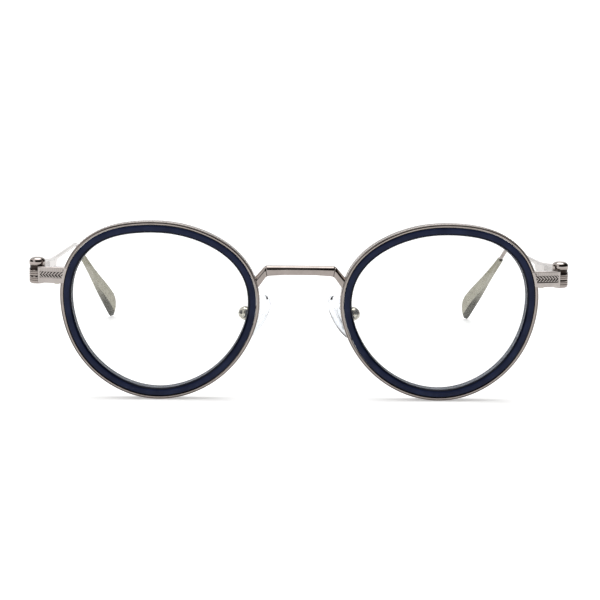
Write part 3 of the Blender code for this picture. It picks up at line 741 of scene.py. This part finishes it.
TANG_START = 1.55      # behind the hinge axis, inside the knuckle
TANG_END = 8.2
SPADE_END = 40.0
SPADE_HALF = 0.62
WIRE_R = 0.6
WIRE_HEIGHT = 30.9
BEND = (67.0, 97.0, 29.0)
BEND_RADIUS = 14.0
TIP_END = (59.6, 139.2, 0.78)
SLEEVE_START = 4.8


def temple_route(word, side):
    """Wire from the flat part, round the ear bend, and the straight line on to the tip's end."""
    hx = abs(JOINTS[f"{word}_temple_fold"]["pos_m"][0]) / MM
    lead = Vector((hx, SPADE_END, WIRE_HEIGHT))
    corner = Vector(BEND)
    end = Vector(TIP_END)
    back = (lead - corner).normalized()
    down = (end - corner).normalized()
    turn = pi - back.angle(down)
    reach = BEND_RADIUS * sin(turn / 2) / cos(turn / 2)
    bend_in = corner + back * reach
    bend_out = corner + down * reach
    centre = corner + (back + down).normalized() * (BEND_RADIUS / cos(turn / 2))
    points = [lead + Vector((0, -3, 0)), lead, lead.lerp(bend_in, 0.5)]
    for i in range(25):
        spoke = (bend_in - centre).lerp(bend_out - centre, i / 24).normalized()
        points.append(centre + spoke * BEND_RADIUS)
    world = [at(side, p.x, p.y, p.z) for p in points]
    return world, Vector((side * down.x, down.y, down.z)), (end - bend_out).length


def spade_face(y, from_middle, half):
    """Distance of the flat part's face from its middle plane, and its tone."""
    gap = half - from_middle
    edge = max(0.0, 0.3 - gap) / 0.3
    out = SPADE_HALF - 0.3 * (1 - max(0.0, 1 - edge * edge) ** 0.5)
    shade = 1.0
    if 10.0 < y < 36.0 and 0.42 < gap < 0.62:
        out -= 0.05
        shade = 0.25
    fade = clamped((y - 10.4) / 0.4) * clamped((25.5 - y) / 0.4)
    if gap > 0.75 and fade > 0:
        ridge = wave(y + from_middle * 1.1, 0.74)
        out -= (0.06 - 0.06 * ridge) * fade
        shade = 1 - fade * (1 - min(1.0, ridge * 1.3)) * 0.8
    return out, shade


def build_temple(word, side):
    """Middle knuckle, the flat part with its border line and herringbone, and the wire."""
    hx, hy, base = hinge_place(word)
    body = f"{word}_temple"
    r = outer_reach(word, side, "temple")
    top = base + KNUCKLE_HEIGHT
    profile = [(PIN_BORE, top), (r - 0.12, top), (r - 0.02, top - 0.05), (r, top - 0.14)]
    profile += turned_groove(r, top - 0.5) + turned_groove(r, top - 0.96)
    profile += [(r, base + 0.14), (r - 0.02, base + 0.05), (r - 0.12, base), (PIN_BORE, base)]
    knuckle = collar(f"{word}_middle_knuckle", profile, at(side, hx, hy, 0), (PEWTER, PATINA),
                     groove_marks(profile, r))
    mount(knuckle, body, "pewter_metal", f"{word}_temple")

    tang = hy + TANG_START
    uppers = ((tang, top - 0.05), (TANG_END, top - 0.05), (8.45, 33.15), (9.2, 33.6), (12.0, 33.55),
              (16.0, 33.4), (21.0, 33.0), (26.0, 32.5), (31.0, 32.05), (36.0, 31.72),
              (SPADE_END, 31.52), (SPADE_END + 1.5, 31.5))
    lowers = ((tang, base + 0.05), (TANG_END, base + 0.05), (8.45, 29.95), (9.2, 29.55), (20.0, 29.27),
              (30.0, 29.0), (38.4, 28.82), (39.4, 29.05), (SPADE_END, 30.1), (SPADE_END + 1.5, 30.3))
    stops = np.concatenate((np.linspace(tang, TANG_END, 4), np.linspace(8.25, 9.4, 12),
                            np.linspace(9.6, 26.0, 176), np.linspace(26.4, 38.0, 30),
                            np.linspace(38.1, SPADE_END + 1.4, 24)))
    heights = zip(np.interp(stops, *zip(*uppers)), np.interp(stops, *zip(*lowers)))
    shares = np.linspace(-1, 1, 25)
    rings, patina_and_painted_shade = [], []
    for y, (upper, lower) in zip(stops, heights):
        middle, half = (lower + upper) / 2, (upper - lower) / 2
        ring = []
        for face in (1, -1):
            for share in shares * face:
                out, shade = spade_face(y, abs(half * share), half)
                ring.append(at(side, hx + face * out, y, middle + half * share))
                patina_and_painted_shade.append(shade)
        rings.append(ring)
    spade = tube(f"{word}_temple_flat", rings, (ENGRAVED,), patina_and_painted_shade=patina_and_painted_shade, sharp=60)
    mount(spade, body, "pewter_metal")

    route, down, _ = temple_route(word, side)
    route.append(route[-1] + down * (SLEEVE_START + 6.0))
    mount(round_wire(f"{word}_temple_wire", route, WIRE_R, (PEWTER,)), body, "pewter_metal")


# Sleeve and paddle: share of the length, width, thickness.
TIP_TABLE = ((0.0, 1.55, 1.45), (0.008, 1.76, 1.6), (0.02, 1.84, 1.66), (0.05, 1.88, 1.66), (0.2, 2.5, 1.64),
             (0.4, 3.35, 1.5), (0.6, 4.3, 1.5), (0.75, 5.0, 1.5), (0.82, 5.2, 1.5), (0.88, 5.0, 1.5),
             (0.93, 4.3, 1.48), (0.965, 3.2, 1.42), (0.985, 2.2, 1.3), (1.0, 1.1, 0.9))
BEVEL_SHARES, BEVEL_WIDTHS = (0.4, 0.65, 0.8, 1.0), (0.05, 1.0, 1.5, 1.7)
TIP_HALF = 20          # ring points along the bevelled lower half, and again along the upper one
TIP_LEAN = 14.0


def build_tip(word, side):
    """Satin sleeve with a small collar, widening to a flat paddle with a bevel under its inner face; the
    bevel darkens towards the end as painted shade.
    """
    route, down, length = temple_route(word, side)
    lead = SLEEVE_START - 0.9
    start = route[-1] + down * lead
    length -= lead
    level = down.cross(Vector((0, 0, 1))).normalized()
    upward = level.cross(down).normalized()
    if upward.z < 0:
        upward.negate()
    inward = Vector((-side, 0, 0))
    inward = (inward - down * inward.dot(down)).normalized()
    shares, widths, thicks = zip(*TIP_TABLE)
    rings, patina_and_painted_shade = [], []
    for share in np.concatenate((np.linspace(0, 0.055, 12), np.linspace(0.07, 0.8, 34),
                                 np.linspace(0.815, 1.0, 18))):
        width = float(np.interp(share, shares, widths))
        thick = float(np.interp(share, shares, thicks))
        lean = radians(TIP_LEAN) * min(1.0, share / 0.6)
        across = (upward * cos(lean) + inward * sin(lean)).normalized()
        face = across.cross(down).normalized() * -side
        centre = start + down * (length * share) + across * (width / 2 - 0.95 - 0.12 * share)
        flat = clamped((share - 0.25) / 0.35)
        corner = min(width, thick) * (0.5 - 0.28 * flat)
        bevel = min(0.6 * width, float(np.interp(share, BEVEL_SHARES, BEVEL_WIDTHS)))
        # Painted shade: the lower bevel darkens from 40% to 75% of the length, standing in for the shadowed
        # floor it reflects.
        shade = 1.0 - clamped((share - 0.4) / 0.35)
        ring = []
        for i in range(2 * TIP_HALF):
            angle = tau * (i + 0.5) / (2 * TIP_HALF)
            u = (width / 2 - corner) * (1 if cos(angle) > 0 else -1) + corner * cos(angle)
            v = (thick / 2 - corner) * (1 if sin(angle) > 0 else -1) + corner * sin(angle)
            step = i - TIP_HALF // 2
            tone = 1.0
            if 0 <= step < TIP_HALF:
                along = clamped((step - 1) / (TIP_HALF - 3))
                beyond = 0.05 if step in (0, TIP_HALF - 1) else 0.0
                u += (bevel * along + beyond - width / 2 - u) * flat
                v += (thick * (0.48 - 0.98 * along) - v) * flat
                tone = 1.0 if beyond else shade
            ring.append(centre + across * u + face * v)
            patina_and_painted_shade.append(tone)
        rings.append(ring)
    piece = tube(f"{word}_temple_tip_visual", rings, (TIP,), sharp=70, patina_and_painted_shade=patina_and_painted_shade)
    mount(piece, f"{word}_temple", "tip_metal", f"{word}_temple_tip")


# ---------------------------------------------------------------- nose pads

PAD_FACING = (-0.77, 0.50, -0.40)
PAD_LONG = (0.56, 0.0, -0.83)
PAD_OFFSET = 3.7       # from the rocking axis to the pad's middle, along its facing
PAD_HALF = (6.5, 3.85, 1.2)
PAD_BOX_R = 1.75
PAD_SLOT_HALF = 0.5
ARM_R = 0.45
ARM_SIDE = (-0.637, -0.557, 0.532)  # side of the pad box where the arm lands


def pad_axes(side):
    """Directions along the pad, across it, and towards the nose."""
    facing = Vector((side * PAD_FACING[0], PAD_FACING[1], PAD_FACING[2])).normalized()
    along = Vector((side * PAD_LONG[0], PAD_LONG[1], PAD_LONG[2]))
    along = (along - facing * along.dot(facing)).normalized()
    return along, facing.cross(along), facing


def build_pad_mount(word, side):
    """Slotted pad box and the bent arm that carries it."""
    place = Vector(JOINTS[f"{word}_pad_rock"]["pos_m"]) / MM
    along, across, facing = pad_axes(side)
    profile = [(0, 0.95), (0.9, 0.95), (1.55, 0.93), (1.68, 0.88), (1.74, 0.78), (PAD_BOX_R, 0.6),
               (PAD_BOX_R, 0.0), (1.74, -0.25), (1.69, -0.55), (1.55, -0.9), (1.35, -1.17), (1.1, -1.38),
               (0.8, -1.54), (0.45, -1.63), (0, -1.65)]
    box = lathe(f"{word}_pad_box_visual", profile, place, (along, across, facing), (STEEL,), 48)
    slot_points = []
    for w in (-1.0, 1.5):
        for u, v in ((-2.5, -1), (2.5, -1), (2.5, 1), (-2.5, 1)):
            slot_points.append(place + along * u + across * (v * PAD_SLOT_HALF) + facing * w)
    quads = [(0, 1, 2, 3), (4, 5, 6, 7), (0, 1, 5, 4), (1, 2, 6, 5), (2, 3, 7, 6), (3, 0, 4, 7)]
    cutter = make(f"{word}_slot_cutter", slot_points, quads, (STEEL,))
    cut = box.modifiers.new("slot", "BOOLEAN")
    cut.object = cutter
    cut.solver = "EXACT"
    soft = box.modifiers.new("soft edges", "BEVEL")
    soft.width = 0.06 * MM
    soft.segments = 2
    soft.limit_method = "ANGLE"
    soft.angle_limit = radians(50)
    bpy.context.view_layer.update()
    finished = bpy.data.meshes.new_from_object(
        box.evaluated_get(bpy.context.evaluated_depsgraph_get()))
    box.modifiers.clear()
    box.data = finished
    bpy.data.objects.remove(cutter)
    mount(box, "front", "pewter_metal", f"{word}_pad_box")

    away = Vector((side * ARM_SIDE[0], ARM_SIDE[1], ARM_SIDE[2]))
    away = (away - facing * away.dot(facing)).normalized()
    landing = place + facing * 0.3 + away * (PAD_BOX_R - 0.08)
    route = [at(side, 10.62, 3.9, 22.9), at(side, 10.6, 4.27, 22.9), at(side, 10.55, 5.0, 22.95),
             at(side, 10.85, 5.65, 22.9), at(side, 11.4, 6.0, 22.7), landing + away * 0.8, landing]
    line, _ = smooth_line(route, 40)
    arm = round_wire(f"{word}_pad_arm_visual", line, ARM_R, (PEWTER,), 16)
    mount(arm, "front", "pewter_metal", f"{word}_pad_arm")


def build_nose_pad(word, side):
    """Clear moulded pad: egg-shaped outline, crowned faces and a thin rolled edge."""
    place = Vector(JOINTS[f"{word}_pad_rock"]["pos_m"]) / MM
    along, across, facing = pad_axes(side)
    half_long, half_wide, half_thick = PAD_HALF
    rows = []
    for degrees in range(-80, 81, 8):
        a = radians(degrees)
        rows.append((cos(a) ** 0.8, sin(a)))
    verts = []
    steps = 56
    for reach, level in rows:
        for i in range(steps):
            angle = tau * i / steps
            u = cos(angle)
            v = sin(angle) * (1.0 - 0.16 * u)
            dish = -0.25 * (1 - reach) if level < 0 else 0.0
            verts.append(place + along * (half_long * reach * u) + across * (half_wide * reach * v)
                         + facing * (PAD_OFFSET + half_thick * (level - dish * 0.6)))
    first = len(verts)
    verts.append(place + facing * (PAD_OFFSET - half_thick * 0.86))
    verts.append(place + facing * (PAD_OFFSET + half_thick))
    faces = []
    for i in range(steps):
        j = (i + 1) % steps
        faces.append((first, j, i))
        for row in range(len(rows) - 1):
            a, b = row * steps, (row + 1) * steps
            faces.append((a + i, a + j, b + j, b + i))
        a = (len(rows) - 1) * steps
        faces.append((a + i, a + j, first + 1))
    piece = make(f"{word}_nose_pad_visual", verts, faces, (SILICONE,), sharp=80)
    piece.visible_shadow = False
    mount(piece, f"{word}_pad", "clear_silicone", f"{word}_nose_pad")


# ---------------------------------------------------------------- all pieces

build_bridge()
for word, side in SIDES.items():
    build_eyewire(word, side)
    build_inner_ring(word, side)
    build_lens(word, side)
    build_endpiece(word, side)
    build_hinge_cap(word, side)
    build_temple(word, side)
    build_tip(word, side)
    build_pad_mount(word, side)
    build_nose_pad(word, side)

# CAD nodes that stay as they are and only get a look.
KEPT = {"rim_lock_upper": PEWTER, "rim_lock_lower": PEWTER, "rim_screw": STEEL, "hinge_screw": STEEL,
        "pad_screw": STEEL, "pad_core": NYLON}
for word in SIDES:
    for label, look in KEPT.items():
        node = frame["nodes"][f"{word}_{label}"]
        for index in range(max(1, len(node.material_slots))):
            if node.material_slots:
                node.material_slots[index].material = look
            else:
                node.data.materials.append(look)


# ---------------------------------------------------------------- stage, light and camera

def build_stage():
    """Pale floor just under the rims and tips."""
    bpy.ops.mesh.primitive_plane_add(size=8.0, location=(0, 1.5, FLOOR * MM - 0.00005))
    floor = bpy.context.object
    floor.name = "pale_floor"
    made, nodes, links, shader = new_material("pale_floor")
    shader.inputs["Roughness"].default_value = 0.6
    tone = ramp(nodes, links, noise(nodes, links, 30.0), (0.80, 0.80, 0.797), (0.81, 0.81, 0.808))
    links.new(tone, shader.inputs["Base Color"])
    shader.inputs["Specular IOR Level"].default_value = 0.2
    shader.inputs["Emission Color"].default_value = (1.0, 1.0, 1.0, 1.0)
    shader.inputs["Emission Strength"].default_value = 0.38
    floor.data.materials.append(made)


SURROUND = (1.12, 1.12, 1.12, 1.0)
STRIP = (0.02, 0.017, 0.015, 1.0)


def build_light():
    """White surroundings with a dark strip in front, above the horizon, and a broad light overhead.

    The strip is there for the metal to reflect, and the camera doesn't see it directly.
    """
    world = bpy.data.worlds.new("studio")
    bpy.context.scene.world = world
    world.use_nodes = True
    nodes, links = world.node_tree.nodes, world.node_tree.links
    where = nodes.new("ShaderNodeTexCoord")
    split = nodes.new("ShaderNodeSeparateXYZ")
    links.new(where.outputs["Generated"], split.inputs["Vector"])

    def band(axis, edges):
        """Grey ramp over one axis of the direction, from -1 at 0 to 1 at 1."""
        shifted = nodes.new("ShaderNodeMapRange")
        shifted.inputs["From Min"].default_value = -1.0
        links.new(split.outputs[axis], shifted.inputs["Value"])
        made = nodes.new("ShaderNodeValToRGB")
        steps = made.color_ramp.elements
        steps[0].position, steps[1].position = edges[0][0], edges[-1][0]
        steps[0].color = (edges[0][1],) * 3 + (1,)
        steps[1].color = (edges[-1][1],) * 3 + (1,)
        for place, value in edges[1:-1]:
            steps.new(place).color = (value,) * 3 + (1,)
        links.new(shifted.outputs["Result"], made.inputs["Fac"])
        return made.outputs["Color"]

    def combine(operation, first, second, clamp=False):
        made = nodes.new("ShaderNodeMath")
        made.operation = operation
        made.use_clamp = clamp
        links.new(first, made.inputs[0])
        links.new(second, made.inputs[1])
        return made.outputs[0]

    height = band("Z", ((0.50, 0.0), (0.508, 1.0), (0.88, 1.0), (0.93, 0.0)))
    depth = band("Y", ((0.0, 1.0), (0.78, 1.0), (0.90, 0.0)))
    side = band("X", ((0.06, 1.0), (0.12, 0.0), (0.22, 0.0), (0.34, 1.0)))
    strip = combine("MULTIPLY", height, combine("MULTIPLY", depth, side))
    ray = nodes.new("ShaderNodeLightPath")
    strip = combine("SUBTRACT", strip, ray.outputs["Is Camera Ray"], clamp=True)
    mix = nodes.new("ShaderNodeMix")
    mix.data_type = "RGBA"
    links.new(strip, mix.inputs[0])
    mix.inputs[6].default_value = SURROUND
    mix.inputs[7].default_value = STRIP
    links.new(mix.outputs[2], nodes["Background"].inputs["Color"])
    lamp = bpy.data.lights.new("overhead", "SUN")
    lamp.energy = 1.5
    lamp.angle = radians(50)
    sun = bpy.data.objects.new("overhead", lamp)
    sun.rotation_euler = (radians(-8), 0, 0)
    bpy.context.scene.collection.objects.link(sun)


CAMERA_TURN = (1.483, 8.035, 0.683)   # degrees to the right, down, and rolled
CAMERA_X, CAMERA_BACK, CAMERA_UP = -0.01038, 0.4, 0.0821


def build_camera():
    """Camera at the photograph's angle, placed from the CAD box, in metres."""
    data = bpy.data.cameras.new("camera")
    data.lens = 96.56
    data.sensor_width = 36.0
    data.clip_start = 0.01
    yaw, pitch, roll = (radians(a) for a in CAMERA_TURN)
    ahead = Vector((sin(yaw) * cos(pitch), cos(yaw) * cos(pitch), -sin(pitch)))
    right = Vector((cos(yaw), -sin(yaw), 0))
    up = right.cross(ahead)
    turned_right = right * cos(roll) + up * sin(roll)
    turned_up = up * cos(roll) - right * sin(roll)
    turn = Matrix((turned_right, turned_up, -ahead)).transposed().to_4x4()
    camera = bpy.data.objects.new("camera", data)
    place = (CAMERA_X, CAD_LOW.y - CAMERA_BACK, CAD_LOW.z + CAMERA_UP)
    camera.matrix_world = Matrix.Translation(place) @ turn
    bpy.context.scene.collection.objects.link(camera)
    bpy.context.scene.camera = camera


build_stage()
build_light()
build_camera()
bpy.context.scene.view_settings.view_transform = "Standard"
